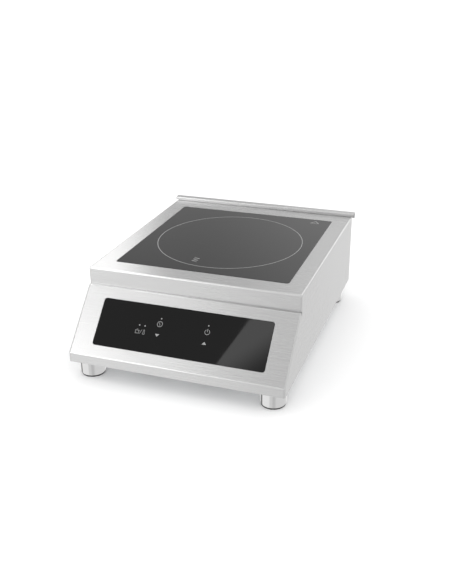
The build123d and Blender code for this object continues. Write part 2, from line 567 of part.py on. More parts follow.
# ---- wiring ---------------------------------------------------------------
tb = B(-128, -62, 352, 386, 44.0, 64.0)
for k in range(5):
    xk = -121 + 13.0 * k
    tb = tb - CZ(xk, 360, 56, 70, 3.2) - CZ(xk, 378, 56, 70, 3.2)
tb = tb + B(-128, -62, 366.5, 371.5, 60.0, 71.0)
tb = tb + B(-124, -118, 355, 383, Z_BOT, 44.5) + B(-72, -66, 355, 383, Z_BOT, 44.5)
put("terminal_block", tb)


def wire(pts, radii, r):
    path = FilletPolyline(*pts, radius=radii)
    start = path @ 0
    tang = path % 0
    prof = Plane(origin=start, z_dir=tang) * Circle(r)
    return sweep(prof, path)


wires = []
for k in range(3):
    xk = -108.0 + 13.0 * k
    xe = -82.0 + 7.0 * k
    wires.append(wire([(xk, 351.9, 52.0), (xk, 326.0, 52.0), (xk, 311.0, 80.0), (xe, 311.0, 112.0), (xe, 295.0, 112.0), (xe, 295.0, zb + 0.05)], [10.0, 8.0, 6.0, 7.0], 1.7))
put("mains_wires", group(wires))

leads = []
for (x, y), (tx, ty) in zip(LEADS, TERM):
    leads.append(wire([(x, y, Z_C0 - 0.05), (x, y, 130.0), (tx, ty + 0.01, 122.0), (tx, ty, BOARD_Z + 12.05)], [9.0, 9.0], 3.0))
put("coil_leads", group(leads))

# flat ribbon from the control board to the power board
cb = (SLOPE_TOP[0] + DY * (TSC + 18) - NY * -0.0, SLOPE_TOP[1] + DZ * (TSC + 18))
r0 = (cb[0] + NY * (PCB_N - 2.8), cb[1] + NZ * (PCB_N - 2.8))
with BuildSketch() as rs:
    with BuildLine() as rl:
        FilletPolyline((r0[0], r0[1]), (r0[0] - NY * 16.0, r0[1] - NZ * 16.0), (-4.0, 112.0), (60.0, 112.0), (72.0, 112.0 - 0.6), (72.0, BOARD_Z + 9.05), radius=4.5)
rib_line = rl.line
rib_face = trace(rib_line, line_width=0.9)
ribbon = extrude(rib_face, amount=20.0)
ribbon = Location(Plane(origin=(-129.0, 0, 0), x_dir=(0, 1, 0), z_dir=(1, 0, 0))) * ribbon
ribbon = ribbon - SB(-300, 300, -20, 160, PCB_N - 2.85, 50)
put("ribbon_cable", ribbon)

# ---------------------------------------------------------------------------
# Rear fittings
# ---------------------------------------------------------------------------
gx, gz = GLAND_X, GLAND_Z
body = hex_y(gx, gz, D, D + 6.0, 24.0) + CY(gx, gz, D - 11.0, D + 0.01, 9.95) + CY(gx, gz, D + 5.9, D + 15.0, 9.6)
body = body - CY(gx, gz, D - 20, D + 30, 7.6)
put("gland_body", body)
locknut = hex_y(gx, gz, D - T - 4.6, D - T - 0.02, 24.0) - CY(gx, gz, D - 20, D + 5, 10.0)
put("gland_locknut", locknut)
gseal = tube_y(gx, gz, D + 5.5, D + 18.5, 7.5, CABLE_R)
put("gland_seal", gseal)
dome = CY(gx, gz, D + 6.2, D + 20.5, 12.0) - CY(gx, gz, D, D + 15.2, 9.75) - CY(gx, gz, D + 15.0, D + 18.6, 7.6) - CY(gx, gz, D, D + 40, 6.6)
dome = fillet(dome.edges().filter_by(GeomType.CIRCLE).filter_by(lambda e: abs(e.radius - 12.0) < 0.01 and e.center().Y > D + 20), 3.0)
flats = hex_y(gx, gz, D + 6.2, D + 13.5, 22.6)
keep = CY(gx, gz, D + 13.4, D + 30, 30)
dome = (dome & (flats + keep + CY(gx, gz, D + 6.0, D + 13.6, 11.55)))
put("gland_dome_nut", dome)

bx_, bz_ = STUD6_X, STUD6_Z
stud = CY(bx_, bz_, D - T - 3.0 - 4.0, D + 10.01, 2.8) + CY(bx_, bz_, D + 10.0, D + 20.0, 3.0) + hex_y(bx_, bz_, D - T - 4.05, D - T - 0.02, 10.0)
put("bonding_stud", stud)
put("bonding_nuts", group([hex_y(bx_, bz_, D + 0.02, D + 4.0, 10.0) - CY(bx_, bz_, D - 5, D + 10, 2.83),
                           tube_y(bx_, bz_, D + 4.02, D + 5.58, 6.2, 3.2),
                           hex_y(bx_, bz_, D + 5.6, D + 9.6, 10.0) - CY(bx_, bz_, D - 5, D + 14, 2.83)]))
rp = B(plate_x - 32, plate_x + 32, D + 0.02, D + 0.82, plate_z - 16, plate_z + 16)
for sx in (-1, 1):
    rp = rp - CY(plate_x + sx * 27.0, plate_z, D - 5, D + 5, 1.55)
put("rating_plate", rp)
put("plate_rivets", group([(CY(plate_x + sx * 27.0, plate_z, D - 4.0, D + 0.9, 1.5) + CY(plate_x + sx * 27.0, plate_z, D + 0.85, D + 1.8, 3.0)) for sx in (-1, 1)]))

# ---------------------------------------------------------------------------
# Fasteners
# ---------------------------------------------------------------------------
hs = [screw_down(x, y, Z_BASE) for x, y in base_screws]
hs += [screw_rear(x, z, D) for x, z in rear_screw_side]
hs += [screw_rear(x, z, D + T) for x, z in rear_screw_top]
put("housing_screws", group(hs))
ins = [screw_up(x, y, FZ0 + FAN_H, length=FAN_H + 4.0) for x, y in fan_holes]
ins += [screw_up(x, y, BOARD_Z + 1.6) for x, y in board_posts]
ins += [screw_up(x, y, Z_P1) for x, y in pillars]
ins += [screw_down(x, y, Z_BASE, length=7.0) for x, y in board_posts + pillars]
put("inner_screws", group(ins))

# ---------------------------------------------------------------------------
# Feet
# ---------------------------------------------------------------------------
SL_BOT = 5.0
sleeves, fnuts = [], []
for x, y in feet_at:
    s = CZ(x, y, SL_BOT, Z_BASE, FOOT_R) - CZ(x, y, SL_BOT - 1, Z_BASE - 3.0, FOOT_R - 2.0)
    s = fillet(s.edges().filter_by(GeomType.CIRCLE).filter_by(lambda e: abs(e.radius - FOOT_R) < 0.01 and e.center().Z > Z_BASE - 0.1), 1.2)
    s = s + CZ(x, y, 14.0, Z_BASE - 2.9, 9.0) + CZ(x, y, Z_BASE - 0.1, Z_BOT + 8.5, 4.0)
    s = s - CZ(x, y, 0, Z_BASE - 1.5, STUD_R + 0.1)
    sleeves.append(s)
    fnuts.append(hex_z(x, y, Z_BOT, Z_BOT + 6.5, 13.0) - CZ(x, y, Z_BOT - 2, Z_BOT + 12, 4.03))
put("foot_sleeves", group(sleeves))
put("foot_nuts", group(fnuts))
FOOT_NAMES = ["front_left", "front_right", "rear_left", "rear_right"]
for nm, (x, y) in zip(FOOT_NAMES, feet_at):
    a = CZ(x, y, 3.0, 4.7, 21.4) + CZ(x, y, 4.6, 27.4, FOOT_R - 2.25) - CZ(x, y, 4.7, 40, FOOT_R - 4.0)
    a = a + CZ(x, y, 4.6, 29.5, STUD_R)
    a = a + CZ(x, y, 1.6, 3.1, 6.0)
    put(f"foot_adjuster_{nm}", a)
    p = CZ(x, y, 0, 2.98, 20.6) - CZ(x, y, 1.5, 4.0, 6.1)
    p = fillet(p.edges().filter_by(GeomType.CIRCLE).filter_by(lambda e: abs(e.radius - 20.6) < 0.01 and e.center().Z < 0.1), 0.8)
    put(f"foot_pad_{nm}", p)

# ---------------------------------------------------------------------------
# Shift to the middle of the footprint and write
# ---------------------------------------------------------------------------
Y_REAR = D + 20.5
Y_SHIFT = -(Y_FRONT + Y_REAR) / 2
os.makedirs("parts", exist_ok=True)
for old in os.listdir("parts"):
    if old.endswith(".step"):
        os.remove(os.path.join("parts", old))
lo = [1e9] * 3
hi = [-1e9] * 3
for name, shape in PARTS.items():
    moved = Pos(0, Y_SHIFT, 0) * shape
    sol = moved.solids()
    out = sol[0] if len(sol) == 1 else Compound(children=list(sol))
    out.label = name
    export_step(out, f"parts/{name}.step")
    bb = out.bounding_box()
    for i, (a, b) in enumerate(zip(tuple(bb.min), tuple(bb.max))):
        lo[i] = min(lo[i], a)
        hi[i] = max(hi[i], b)
print(len(PARTS), "nodes; Y shift", Y_SHIFT)
print("box", [round(v, 3) for v in lo], [round(v, 3) for v in hi])
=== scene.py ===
import bpy
import bmesh
import json
import math
from mathutils import Matrix, Vector


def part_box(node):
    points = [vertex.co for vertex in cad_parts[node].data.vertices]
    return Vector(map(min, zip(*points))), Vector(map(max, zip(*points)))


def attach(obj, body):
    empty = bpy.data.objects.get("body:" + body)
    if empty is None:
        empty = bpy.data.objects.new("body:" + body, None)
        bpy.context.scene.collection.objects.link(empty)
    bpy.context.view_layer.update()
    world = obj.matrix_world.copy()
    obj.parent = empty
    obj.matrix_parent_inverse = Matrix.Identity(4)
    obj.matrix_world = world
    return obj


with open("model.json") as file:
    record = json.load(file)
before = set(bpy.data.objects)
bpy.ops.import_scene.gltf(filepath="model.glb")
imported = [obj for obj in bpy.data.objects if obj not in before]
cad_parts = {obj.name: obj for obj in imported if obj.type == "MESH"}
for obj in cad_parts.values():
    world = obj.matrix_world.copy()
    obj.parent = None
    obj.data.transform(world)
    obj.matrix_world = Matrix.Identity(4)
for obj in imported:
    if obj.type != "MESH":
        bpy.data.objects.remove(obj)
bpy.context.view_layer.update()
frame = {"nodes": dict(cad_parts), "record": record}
NODES = frame["nodes"]


# ---------------------------------------------------------------------------
# Places, in metres, read from the frame
# ---------------------------------------------------------------------------
glass_lo, glass_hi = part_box("ceramic_glass")
panel_lo, panel_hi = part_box("touch_glass")
Z_GLASS = glass_hi[2]
ZONE = ((glass_lo[0] + glass_hi[0]) / 2, (glass_lo[1] + glass_hi[1]) / 2 - 0.0020)

Y_SHIFT = -0.17025                      # band face in the row's frame
SLOPE_TOP = Vector((0.0, -0.005 + Y_SHIFT, 0.145))
SLOPE_BOT = Vector((0.0, -0.096 + Y_SHIFT, 0.0505))
DOWN = (SLOPE_BOT - SLOPE_TOP).normalized()
ACROSS = Vector((1.0, 0.0, 0.0))
NORMAL = DOWN.cross(ACROSS).normalized()
if NORMAL.z < 0:
    NORMAL = -NORMAL


def on_slope(x, s, n=0.0):
    """Point on the sloped console; x, s (down the slope) and n (out of it) in millimetres."""
    return SLOPE_TOP + ACROSS * (x / 1000) + DOWN * (s / 1000) + NORMAL * (n / 1000)


# ---------------------------------------------------------------------------
# Material helpers
# ---------------------------------------------------------------------------
class Graph:
    def __init__(self, name):
        self.mat = bpy.data.materials.new(name)
        self.mat.use_nodes = True
        self.nt = self.mat.node_tree
        self.nt.nodes.clear()
        self.out = self.nt.nodes.new("ShaderNodeOutputMaterial")
        self.bsdf = self.nt.nodes.new("ShaderNodeBsdfPrincipled")
        self.link(self.bsdf.outputs[0], self.out.inputs[0])
        self.coord = self.nt.nodes.new("ShaderNodeTexCoord")
        self.geo = self.nt.nodes.new("ShaderNodeNewGeometry")

    def link(self, a, b):
        self.nt.links.new(a, b)

    def n(self, kind, **inputs):
        node = self.nt.nodes.new(kind)
        for k, v in inputs.items():
            key = int(k[1:]) if k[0] == "i" and k[1:].isdigit() else k.replace("_", " ")
            sock = node.inputs[key]
            if hasattr(v, "is_linked"):
                self.link(v, sock)
            else:
                sock.default_value = v
        return node

    def math(self, op, a, b=0.0, c=None, clamp=False):
        node = self.nt.nodes.new("ShaderNodeMath")
        node.operation = op
        node.use_clamp = clamp
        for i, v in enumerate((a, b) if c is None else (a, b, c)):
            if hasattr(v, "is_linked"):
                self.link(v, node.inputs[i])
            else:
                node.inputs[i].default_value = v
        return node.outputs[0]

    def vmath(self, op, a, b=None):
        node = self.nt.nodes.new("ShaderNodeVectorMath")
        node.operation = op
        for i, v in enumerate((a, b)):
            if v is None:
                continue
            if hasattr(v, "is_linked"):
                self.link(v, node.inputs[i])
            else:
                node.inputs[i].default_value = v
        return node.outputs[0]

    def mapping(self, vector, scale=(1, 1, 1), loc=(0, 0, 0), rot=(0, 0, 0)):
        m = self.nt.nodes.new("ShaderNodeMapping")
        self.link(vector, m.inputs["Vector"])
        m.inputs["Scale"].default_value = scale
        m.inputs["Location"].default_value = loc
        m.inputs["Rotation"].default_value = rot
        return m.outputs[0]

    def noise(self, vector, scale, detail=3.0, rough=0.5, dist=0.0):
        t = self.nt.nodes.new("ShaderNodeTexNoise")
        self.link(vector, t.inputs["Vector"])
        t.inputs["Scale"].default_value = scale
        t.inputs["Detail"].default_value = detail
        t.inputs["Roughness"].default_value = rough
        t.inputs["Distortion"].default_value = dist
        return t.outputs["Fac"]

    def remap(self, value, a, b, c, d):
        m = self.nt.nodes.new("ShaderNodeMapRange")
        self.link(value, m.inputs["Value"])
        for k, v in zip(("From Min", "From Max", "To Min", "To Max"), (a, b, c, d)):
            m.inputs[k].default_value = v
        return m.outputs[0]

    def mix_colour(self, fac, a, b):
        m = self.nt.nodes.new("ShaderNodeMix")
        m.data_type = "RGBA"
        for sock, v in ((m.inputs[0], fac), (m.inputs[6], a), (m.inputs[7], b)):
            if hasattr(v, "is_linked"):
                self.link(v, sock)
            else:
                sock.default_value = v
        return m.outputs[2]

    def bump(self, height, strength, distance):
        b = self.nt.nodes.new("ShaderNodeBump")
        self.link(height, b.inputs["Height"])
        b.inputs["Strength"].default_value = strength
        b.inputs["Distance"].default_value = distance
        return b

    def put(self, **kw):
        for k, v in kw.items():
            sock = self.bsdf.inputs[k.replace("_", " ")]
            if hasattr(v, "is_linked"):
                self.link(v, sock)
            else:
                sock.default_value = v


def grey(v):
    return (v, v, v, 1.0)


def brushed(name, tone=0.68, rough=0.27, aniso=0.7, tint=(1.0, 1.0, 1.0), along_y=False, grain=1.0, edge=0.0005):
    """Brushed sheet: the grain runs along X on the top and front, and along Y on the sides."""
    g = Graph(name)
    obj = g.coord.outputs["Object"]
    normal = g.geo.outputs["Normal"]
    absn = g.vmath("ABSOLUTE", normal)
    sep = g.n("ShaderNodeSeparateXYZ", Vector=absn)
    side = g.math("LESS_THAN", sep.outputs[1], 0.7) if along_y else g.math("GREATER_THAN", sep.outputs[0], 0.6)

    def both(across, length, detail, roughness):
        out = []
        for scale in ((length, across, across), (across, length, across)):
            out.append(g.noise(g.mapping(obj, scale), 1.0, detail, roughness))
        m = g.n("ShaderNodeMix")
        for sock, v in ((0, side), (2, out[0]), (3, out[1])):
            if hasattr(v, "is_linked"):
                g.link(v, m.inputs[sock])
            else:
                m.inputs[sock].default_value = v
        return m.outputs[0]

    fine = both(3200.0, 14.0, 1.0, 0.5)        # the brush lines themselves
    lines = both(900.0, 9.0, 0.0, 0.5)        # a few deeper lines among them
    cloud = g.noise(obj, 4.0, 1.0, 0.5)        # slow change of finish across the sheet
    smear = g.noise(g.mapping(obj, (9.0, 13.0, 9.0)), 1.0, 2.0, 0.5)   # handling marks
    shade = g.math("ADD", g.remap(fine, 0.25, 0.75, 0.0, 0.8), g.remap(lines, 0.3, 0.7, 0.0, 0.2))
    lo, hi = tone * (1 - 0.03 * grain), min(1.0, tone * (1 + 0.03 * grain))
    colour = g.mix_colour(shade, tuple(lo * t for t in tint) + (1,), tuple(hi * t for t in tint) + (1,))
    r = g.math("ADD", g.math("ADD", g.remap(fine, 0.3, 0.7, rough - 0.012 * grain, rough + 0.012 * grain), g.remap(cloud, 0.3, 0.7, -0.008, 0.008)),
               g.remap(smear, 0.45, 0.75, 0.0, 0.012))
    # direction across the grain, for the stretched highlight
    grain_dir = g.n("ShaderNodeMix")
    grain_dir.data_type = "VECTOR"
    if hasattr(side, "is_linked"):
        g.link(side, grain_dir.inputs[0])
    else:
        grain_dir.inputs[0].default_value = side
    grain_dir.inputs[4].default_value = (1.0, 0.0, 0.0)
    grain_dir.inputs[5].default_value = (0.0, 1.0, 0.0)
    across = g.vmath("NORMALIZE", g.vmath("CROSS_PRODUCT", normal, grain_dir.outputs[1]))
    soft = g.n("ShaderNodeBevel")
    soft.samples = 4
    soft.inputs["Radius"].default_value = edge
    b = g.bump(fine, 0.035 * grain, 0.000008)
    g.link(soft.outputs[0], b.inputs["Normal"])
    g.put(Base_Color=colour, Metallic=1.0, Roughness=r, Anisotropic=aniso, Tangent=across, Normal=b.outputs[0])
    return g.mat


def glass_black(name, tone, rough, speck=0.0, ior=1.5, coat=0.0, spec=0.5):
    g = Graph(name)
    obj = g.coord.outputs["Object"]
    cloud = g.noise(obj, 9.0, 3.0, 0.55)
    colour = g.mix_colour(cloud, grey(tone * 0.85), grey(tone * 1.15))
    if speck:
        v = g.n("ShaderNodeTexVoronoi", Vector=obj, Scale=900.0)
        dots = g.math("LESS_THAN", v.outputs["Distance"], 0.16)
        pick = g.math("GREATER_THAN", g.n("ShaderNodeSeparateXYZ", Vector=v.outputs["Color"]).outputs[0], 0.72)
        colour = g.mix_colour(g.math("MULTIPLY", dots, pick), colour, grey(tone + speck))
    smear = g.noise(g.mapping(obj, (12.0, 30.0, 12.0)), 1.0, 4.0, 0.6)
    soft = g.n("ShaderNodeBevel")
    soft.samples = 4
    soft.inputs["Radius"].default_value = 0.0005
    b = g.bump(g.noise(obj, 25.0, 1.0, 0.4), 0.02, 0.0002)
    g.link(soft.outputs[0], b.inputs["Normal"])
    g.put(Base_Color=colour, Roughness=g.remap(smear, 0.3, 0.7, rough, rough + 0.03), IOR=ior, Coat_Weight=coat, Coat_Roughness=0.02, Specular_IOR_Level=spec, Normal=b.outputs[0])
    return g.mat


def moulded(name, colour, rough=0.5, texture=260.0, bump=0.15, depth=0.00006, metallic=0.0, spread=0.12, sheen=0.0):
    g = Graph(name)
    obj = g.coord.outputs["Object"]
    cloud = g.noise(obj, 22.0, 3.0, 0.6)
    dark = tuple(c * (1 - spread) for c in colour) + (1.0,)
    light = tuple(min(1.0, c * (1 + spread)) for c in colour) + (1.0,)
    fine = g.noise(obj, texture, 2.0, 0.5)
    b = g.bump(fine, bump, depth)
    g.put(Base_Color=g.mix_colour(cloud, dark, light), Roughness=g.remap(fine, 0.3, 0.7, rough - 0.05, rough + 0.05), Metallic=metallic, Normal=b.outputs[0], Sheen_Weight=sheen)
    return g.mat


def spangled(name, tone=0.55):
    """Zinc-plated sheet with a faint crystalline pattern."""
    g = Graph(name)
    obj = g.coord.outputs["Object"]
    v = g.n("ShaderNodeTexVoronoi", Vector=g.mapping(obj, (90.0, 90.0, 90.0)), Scale=1.0)
    cell = g.n("ShaderNodeSeparateXYZ", Vector=v.outputs["Color"]).outputs[0]
    fine = g.noise(obj, 400.0, 2.0, 0.5)
    colour = g.mix_colour(cell, (tone * 0.9, tone * 0.92, tone * 0.94, 1), (tone * 1.08, tone * 1.1, tone * 1.12, 1))
    b = g.bump(fine, 0.08, 0.00005)
    g.put(Base_Color=colour, Metallic=0.9, Roughness=g.remap(cell, 0.0, 1.0, 0.34, 0.46), Normal=b.outputs[0])
    return g.mat


def turned(name, tone=0.75, rough=0.18, centre=None):
    """Turned and polished steel, with fine marks at constant height, round its axis when it stands upright; the centre
    argument is not used.
    """
    g = Graph(name)
    obj = g.coord.outputs["Object"]
    rings = g.noise(g.mapping(obj, (4.0, 4.0, 1800.0)), 1.0, 2.0, 0.6)
    cloud = g.noise(obj, 30.0, 3.0, 0.5)
    colour = g.mix_colour(rings, grey(tone * 0.94), grey(min(1.0, tone * 1.06)))
    b = g.bump(rings, 0.08, 0.00003)
    g.put(Base_Color=colour, Metallic=1.0, Roughness=g.remap(cloud, 0.3, 0.7, rough - 0.03, rough + 0.05), Normal=b.outputs[0])
    return g.mat


def wound(name, colour, pitch=1400.0, rough=0.35):
    """Enamelled litz wire: fine twist over the whole winding."""
    g = Graph(name)
    obj = g.coord.outputs["Object"]
    w = g.n("ShaderNodeTexWave", Vector=obj, Scale=pitch / 6.28, Distortion=2.5, Detail=2.0)
    w.wave_type = "BANDS"
    w.bands_direction = "DIAGONAL"
    c = g.mix_colour(w.outputs["Fac"], tuple(v * 0.7 for v in colour) + (1.0,), tuple(min(1, v * 1.15) for v in colour) + (1.0,))
    b = g.bump(w.outputs["Fac"], 0.4, 0.0002)
    g.put(Base_Color=c, Metallic=0.85, Roughness=rough, Normal=b.outputs[0])
    return g.mat


def board(name, colour):
    """Glass-fibre board: solder mask with faint tracks."""
    g = Graph(name)
    obj = g.coord.outputs["Object"]
    brick = g.n("ShaderNodeTexBrick", Vector=g.mapping(obj, (1, 1, 1), rot=(0, 0, 0.4)), Scale=140.0, Mortar_Size=0.03)
    tracks = brick.outputs["Fac"]
    fine = g.noise(obj, 300.0, 2.0, 0.5)
    c = g.mix_colour(tracks, tuple(colour) + (1.0,), tuple(min(1, v * 1.7 + 0.02) for v in colour) + (1.0,))
    b = g.bump(tracks, 0.2, 0.00005)
    g.put(Base_Color=c, Roughness=g.remap(fine, 0.3, 0.7, 0.28, 0.4), Normal=b.outputs[0])
    return g.mat


def printed(name, tone, rough=0.45):
    """Fired-on light grey print, slightly uneven."""
    g = Graph(name)
    obj = g.coord.outputs["Object"]
    fine = g.noise(obj, 1200.0, 3.0, 0.6)
    c = g.mix_colour(fine, grey(tone * 0.86), grey(tone * 1.1))
    b = g.bump(fine, 0.12, 0.00002)
    g.put(Base_Color=c, Roughness=rough, Normal=b.outputs[0])
    return g.mat


MATS = {
    "stainless": brushed("stainless_brushed", 0.56, 0.26, 0.86, (1.0, 1.0, 1.0)),
    "zinc_sheet": spangled("zinc_plated_sheet"),
    "polished_steel": turned("polished_foot_steel", 0.66, 0.10),
    "plated_steel": moulded("plated_fastener_steel", (0.62, 0.62, 0.60), 0.28, 500.0, 0.05, 0.00003, metallic=1.0, spread=0.06),
    "black_silicone": moulded("black_silicone", (0.022, 0.022, 0.023), 0.55, 350.0, 0.12),
    "black_rubber": moulded("black_rubber", (0.018, 0.018, 0.018), 0.72, 420.0, 0.25, 0.0001),
    "black_plastic": moulded("black_moulded_plastic", (0.030, 0.030, 0.032), 0.46, 600.0, 0.2),
    "grey_plastic": moulded("grey_moulded_plastic", (0.36, 0.37, 0.38), 0.48, 600.0, 0.18),
    "grey_nylon": moulded("grey_nylon", (0.12, 0.125, 0.13), 0.42, 700.0, 0.2),
    "green_board": board("solder_mask_board", (0.02, 0.11, 0.05)),
    "red_display": moulded("tinted_display", (0.10, 0.008, 0.008), 0.15, 200.0, 0.02),
    "aluminium": brushed("mill_aluminium", 0.74, 0.36, 0.4, (1.0, 1.0, 1.01), along_y=True),
    "copper": wound("enamelled_copper", (0.60, 0.24, 0.10)),
    "white_insulation": moulded("woven_insulation", (0.66, 0.65, 0.60), 0.85, 900.0, 0.5, 0.0002, sheen=0.2),
    "silicone_sleeve": moulded("silicone_sleeving", (0.50, 0.46, 0.38), 0.6, 500.0, 0.2),
    "ribbon_grey": moulded("ribbon_cable_grey", (0.42, 0.42, 0.44), 0.5, 300.0, 0.2),
    "ferrite": moulded("sintered_ferrite", (0.045, 0.045, 0.048), 0.6, 700.0, 0.35, 0.0001),
}
CERAMIC = glass_black("glass_ceramic_surface", 0.0045, 0.035, speck=0.020, spec=0.40)
TOUCH = glass_black("touch_glass_surface", 0.0055, 0.012, spec=0.25)
slot_of = {s["node"]: s["material_slot"] for s in frame["record"]["subparts"]}


def dress(node, mat):
    ob = NODES[node]
    if not ob.material_slots:
        ob.data.materials.append(mat)
    for sl in ob.material_slots:
        sl.material = mat


for node_name in NODES:
    if node_name == "ceramic_glass":
        dress(node_name, CERAMIC)
    elif node_name == "touch_glass":
        dress(node_name, TOUCH)
    else:
        dress(node_name, MATS[slot_of[node_name]])

# ---------------------------------------------------------------------------
# Printed marks: thin closed solids on the glass
# ---------------------------------------------------------------------------
PRINT = printed("fired_print_light", 0.27)
ICON = printed("icon_print", 0.30)
ROOT = "housing"


def new_piece(name, bm, mat, body=ROOT):
    me = bpy.data.meshes.new(name)
    bmesh.ops.recalc_face_normals(bm, faces=bm.faces)
    bm.to_mesh(me)
    bm.free()
    ob = bpy.data.objects.new(name, me)
    bpy.context.scene.collection.objects.link(ob)
    me.materials.append(mat)
    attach(ob, body)
    return ob


def flat_ring(bm, cx, cy, r0, r1, z0, z1, a0=0.0, a1=2 * math.pi, steps=192):
    """Closed solid ring or arc between two radii."""
    full = abs((a1 - a0) - 2 * math.pi) < 1e-6
    count = steps if full else steps + 1
    cols = []
    for i in range(count):
        a = a0 + (a1 - a0) * i / steps
        c, s = math.cos(a), math.sin(a)
        cols.append([bm.verts.new((cx + r * c, cy + r * s, z)) for r, z in ((r0, z0), (r1, z0), (r1, z1), (r0, z1))])
    pairs = range(count if full else count - 1)
    for i in pairs:
        a, b = cols[i], cols[(i + 1) % count]
        for k in range(4):
            bm.faces.new((a[k], a[(k + 1) % 4], b[(k + 1) % 4], b[k]))
    if not full:
        bm.faces.new(cols[0])
        bm.faces.new(cols[-1])


def slab(bm, loop, lift):
    """Closed solid from a flat loop of points, thickened along lift."""
    lo = [bm.verts.new(p) for p in loop]
    hi = [bm.verts.new(Vector(p) + lift) for p in loop]
    bm.faces.new(lo)
    bm.faces.new(hi)
    for i in range(len(loop)):
        j = (i + 1) % len(loop)
        bm.faces.new((lo[i], lo[j], hi[j], hi[i]))


P_T = 0.00006     # print thickness
zg0, zg1 = Z_GLASS - 0.00002, Z_GLASS + P_T
bm = bmesh.new()
flat_ring(bm, ZONE[0], ZONE[1], 0.1400, 0.1414, zg0, zg1)
new_piece("zone_ring_outer", bm, PRINT)
# zigzag mark at the near edge of the zone: one stroke of five bars
bm = bmesh.new()
ang = math.radians(-104.0)
mx, my = ZONE[0] + 0.1150 * math.cos(ang), ZONE[1] + 0.1150 * math.sin(ang)
zig = [Vector((mx + (0.0058 if i % 2 else -0.0058), my + 0.0090 - i * 0.0040, zg0)) for i in range(6)]
for a, b in zip(zig, zig[1:]):
    run = (b - a).normalized()
    side = Vector((-run.y, run.x, 0)) * 0.00062
    slab(bm, [a - side - run * 0.0003, b - side + run * 0.0003, b + side + run * 0.0003, a + side - run * 0.0003], Vector((0, 0, zg1 - zg0)))
new_piece("zone_marks", bm, PRINT)
# small plain triangle in the rear right corner
bm = bmesh.new()
tx, ty = 0.1330, 0.3585 + Y_SHIFT
outer = [Vector((tx - 0.0095, ty - 0.0065, zg0)), Vector((tx + 0.0095, ty - 0.0065, zg0)), Vector((tx, ty + 0.0075, zg0))]
cen = sum(outer, Vector()) / 3
inner = [cen + (p - cen) * 0.72 for p in outer]
for i in range(3):
    j = (i + 1) % 3
    slab(bm, [outer[i], outer[j], inner[j], inner[i]], Vector((0, 0, zg1 - zg0)))
new_piece("corner_triangle_print", bm, ICON)


# ---- console icons, all strokes in slope coordinates (x right, s down) -----
def stroke(bm, pts, width, closed=False, n0=0.28, n1=0.36):
    """A line of constant width along pts (x, s) in mm, as closed quads."""
    pts = [Vector((p[0], p[1])) for p in pts]
    count = len(pts)
    lo0, lo1, hi0, hi1 = [], [], [], []
    for i, p in enumerate(pts):
        if closed:
            a, b = pts[i - 1], pts[(i + 1) % count]
        else:
            a, b = pts[max(i - 1, 0)], pts[min(i + 1, count - 1)]
        d1 = (p - a).normalized() if (p - a).length > 1e-9 else (b - p).normalized()
        d2 = (b - p).normalized() if (b - p).length > 1e-9 else d1
        t = (d1 + d2)
        t = t.normalized() if t.length > 1e-6 else d1
        nrm = Vector((-t.y, t.x))
        k = 1.0 / max(0.5, abs(nrm.dot(Vector((-d1.y, d1.x)))))
        for lst, sgn, nn in ((lo0, -1, n0), (lo1, 1, n0), (hi0, -1, n1), (hi1, 1, n1)):
            q = p + nrm * (sgn * k * width / 2)
            lst.append(bm.verts.new(on_slope(q.x, q.y, nn)))
    rng = range(count if closed else count - 1)
    for i in rng:
        j = (i + 1) % count
        bm.faces.new((lo0[i], lo1[i], lo1[j], lo0[j]))
        bm.faces.new((hi0[i], hi0[j], hi1[j], hi1[i]))
        bm.faces.new((lo0[i], lo0[j], hi0[j], hi0[i]))
        bm.faces.new((lo1[i], hi1[i], hi1[j], lo1[j]))
    if not closed:
        for i in (0, -1):
            bm.faces.new((lo0[i], lo1[i], hi1[i], hi0[i]))


def arc(cx, cs, r, a0, a1, steps=28):
    return [(cx + r * math.cos(math.radians(a0 + (a1 - a0) * i / steps)), cs + r * math.sin(math.radians(a0 + (a1 - a0) * i / steps))) for i in range(steps + 1)]


def filled(bm, pts, n0=0.28, n1=0.36):
    slab(bm, [on_slope(x, s, n0) for x, s in pts], NORMAL * ((n1 - n0) / 1000))


def disc(bm, x, s, r, steps=24):
    filled(bm, [(x + r * math.cos(2 * math.pi * i / steps), s + r * math.sin(2 * math.pi * i / steps)) for i in range(steps)])


LW = 0.8
# power key
bm = bmesh.new()
stroke(bm, arc(45.5, 56.4, 4.4, -60, 240), LW)
stroke(bm, [(45.5, 50.2), (45.5, 56.2)], LW)
new_piece("icon_power", bm, ICON)
# timer key: clock face with hands
bm = bmesh.new()
stroke(bm, arc(-42.9, 55.0, 4.8, 0, 360, 40)[:-1], LW, closed=True)
stroke(bm, [(-45.0, 52.4), (-42.7, 55.2), (-42.7, 58.0)], LW * 0.9)
new_piece("icon_timer", bm, ICON)
# function key: pot, slash, thermometer
bm = bmesh.new()
stroke(bm, [(-84.3, 71.6), (-84.3, 77.0), (-78.1, 77.0), (-78.1, 71.6)], LW * 0.85)
stroke(bm, [(-85.4, 71.6), (-77.0, 71.6)], LW * 0.85)
stroke(bm, [(-82.4, 69.6), (-80.0, 69.6)], LW * 0.85)
stroke(bm, [(-75.9, 77.4), (-72.9, 69.2)], LW * 0.75)
stroke(bm, arc(-68.7, 75.9, 1.9, -60, 240, 20), LW * 0.75)
stroke(bm, [(-69.6, 74.0), (-69.6, 69.6), (-67.8, 69.6), (-67.8, 74.0)], LW * 0.7)
new_piece("icon_function", bm, ICON)
# down and up keys
bm = bmesh.new()
filled(bm, [(-47.2, 73.2), (-39.0, 73.2), (-43.1, 78.2)])
new_piece("icon_down", bm, ICON)
bm = bmesh.new()
filled(bm, [(40.6, 79.0), (48.8, 79.0), (44.7, 74.0)])
new_piece("icon_up", bm, ICON)
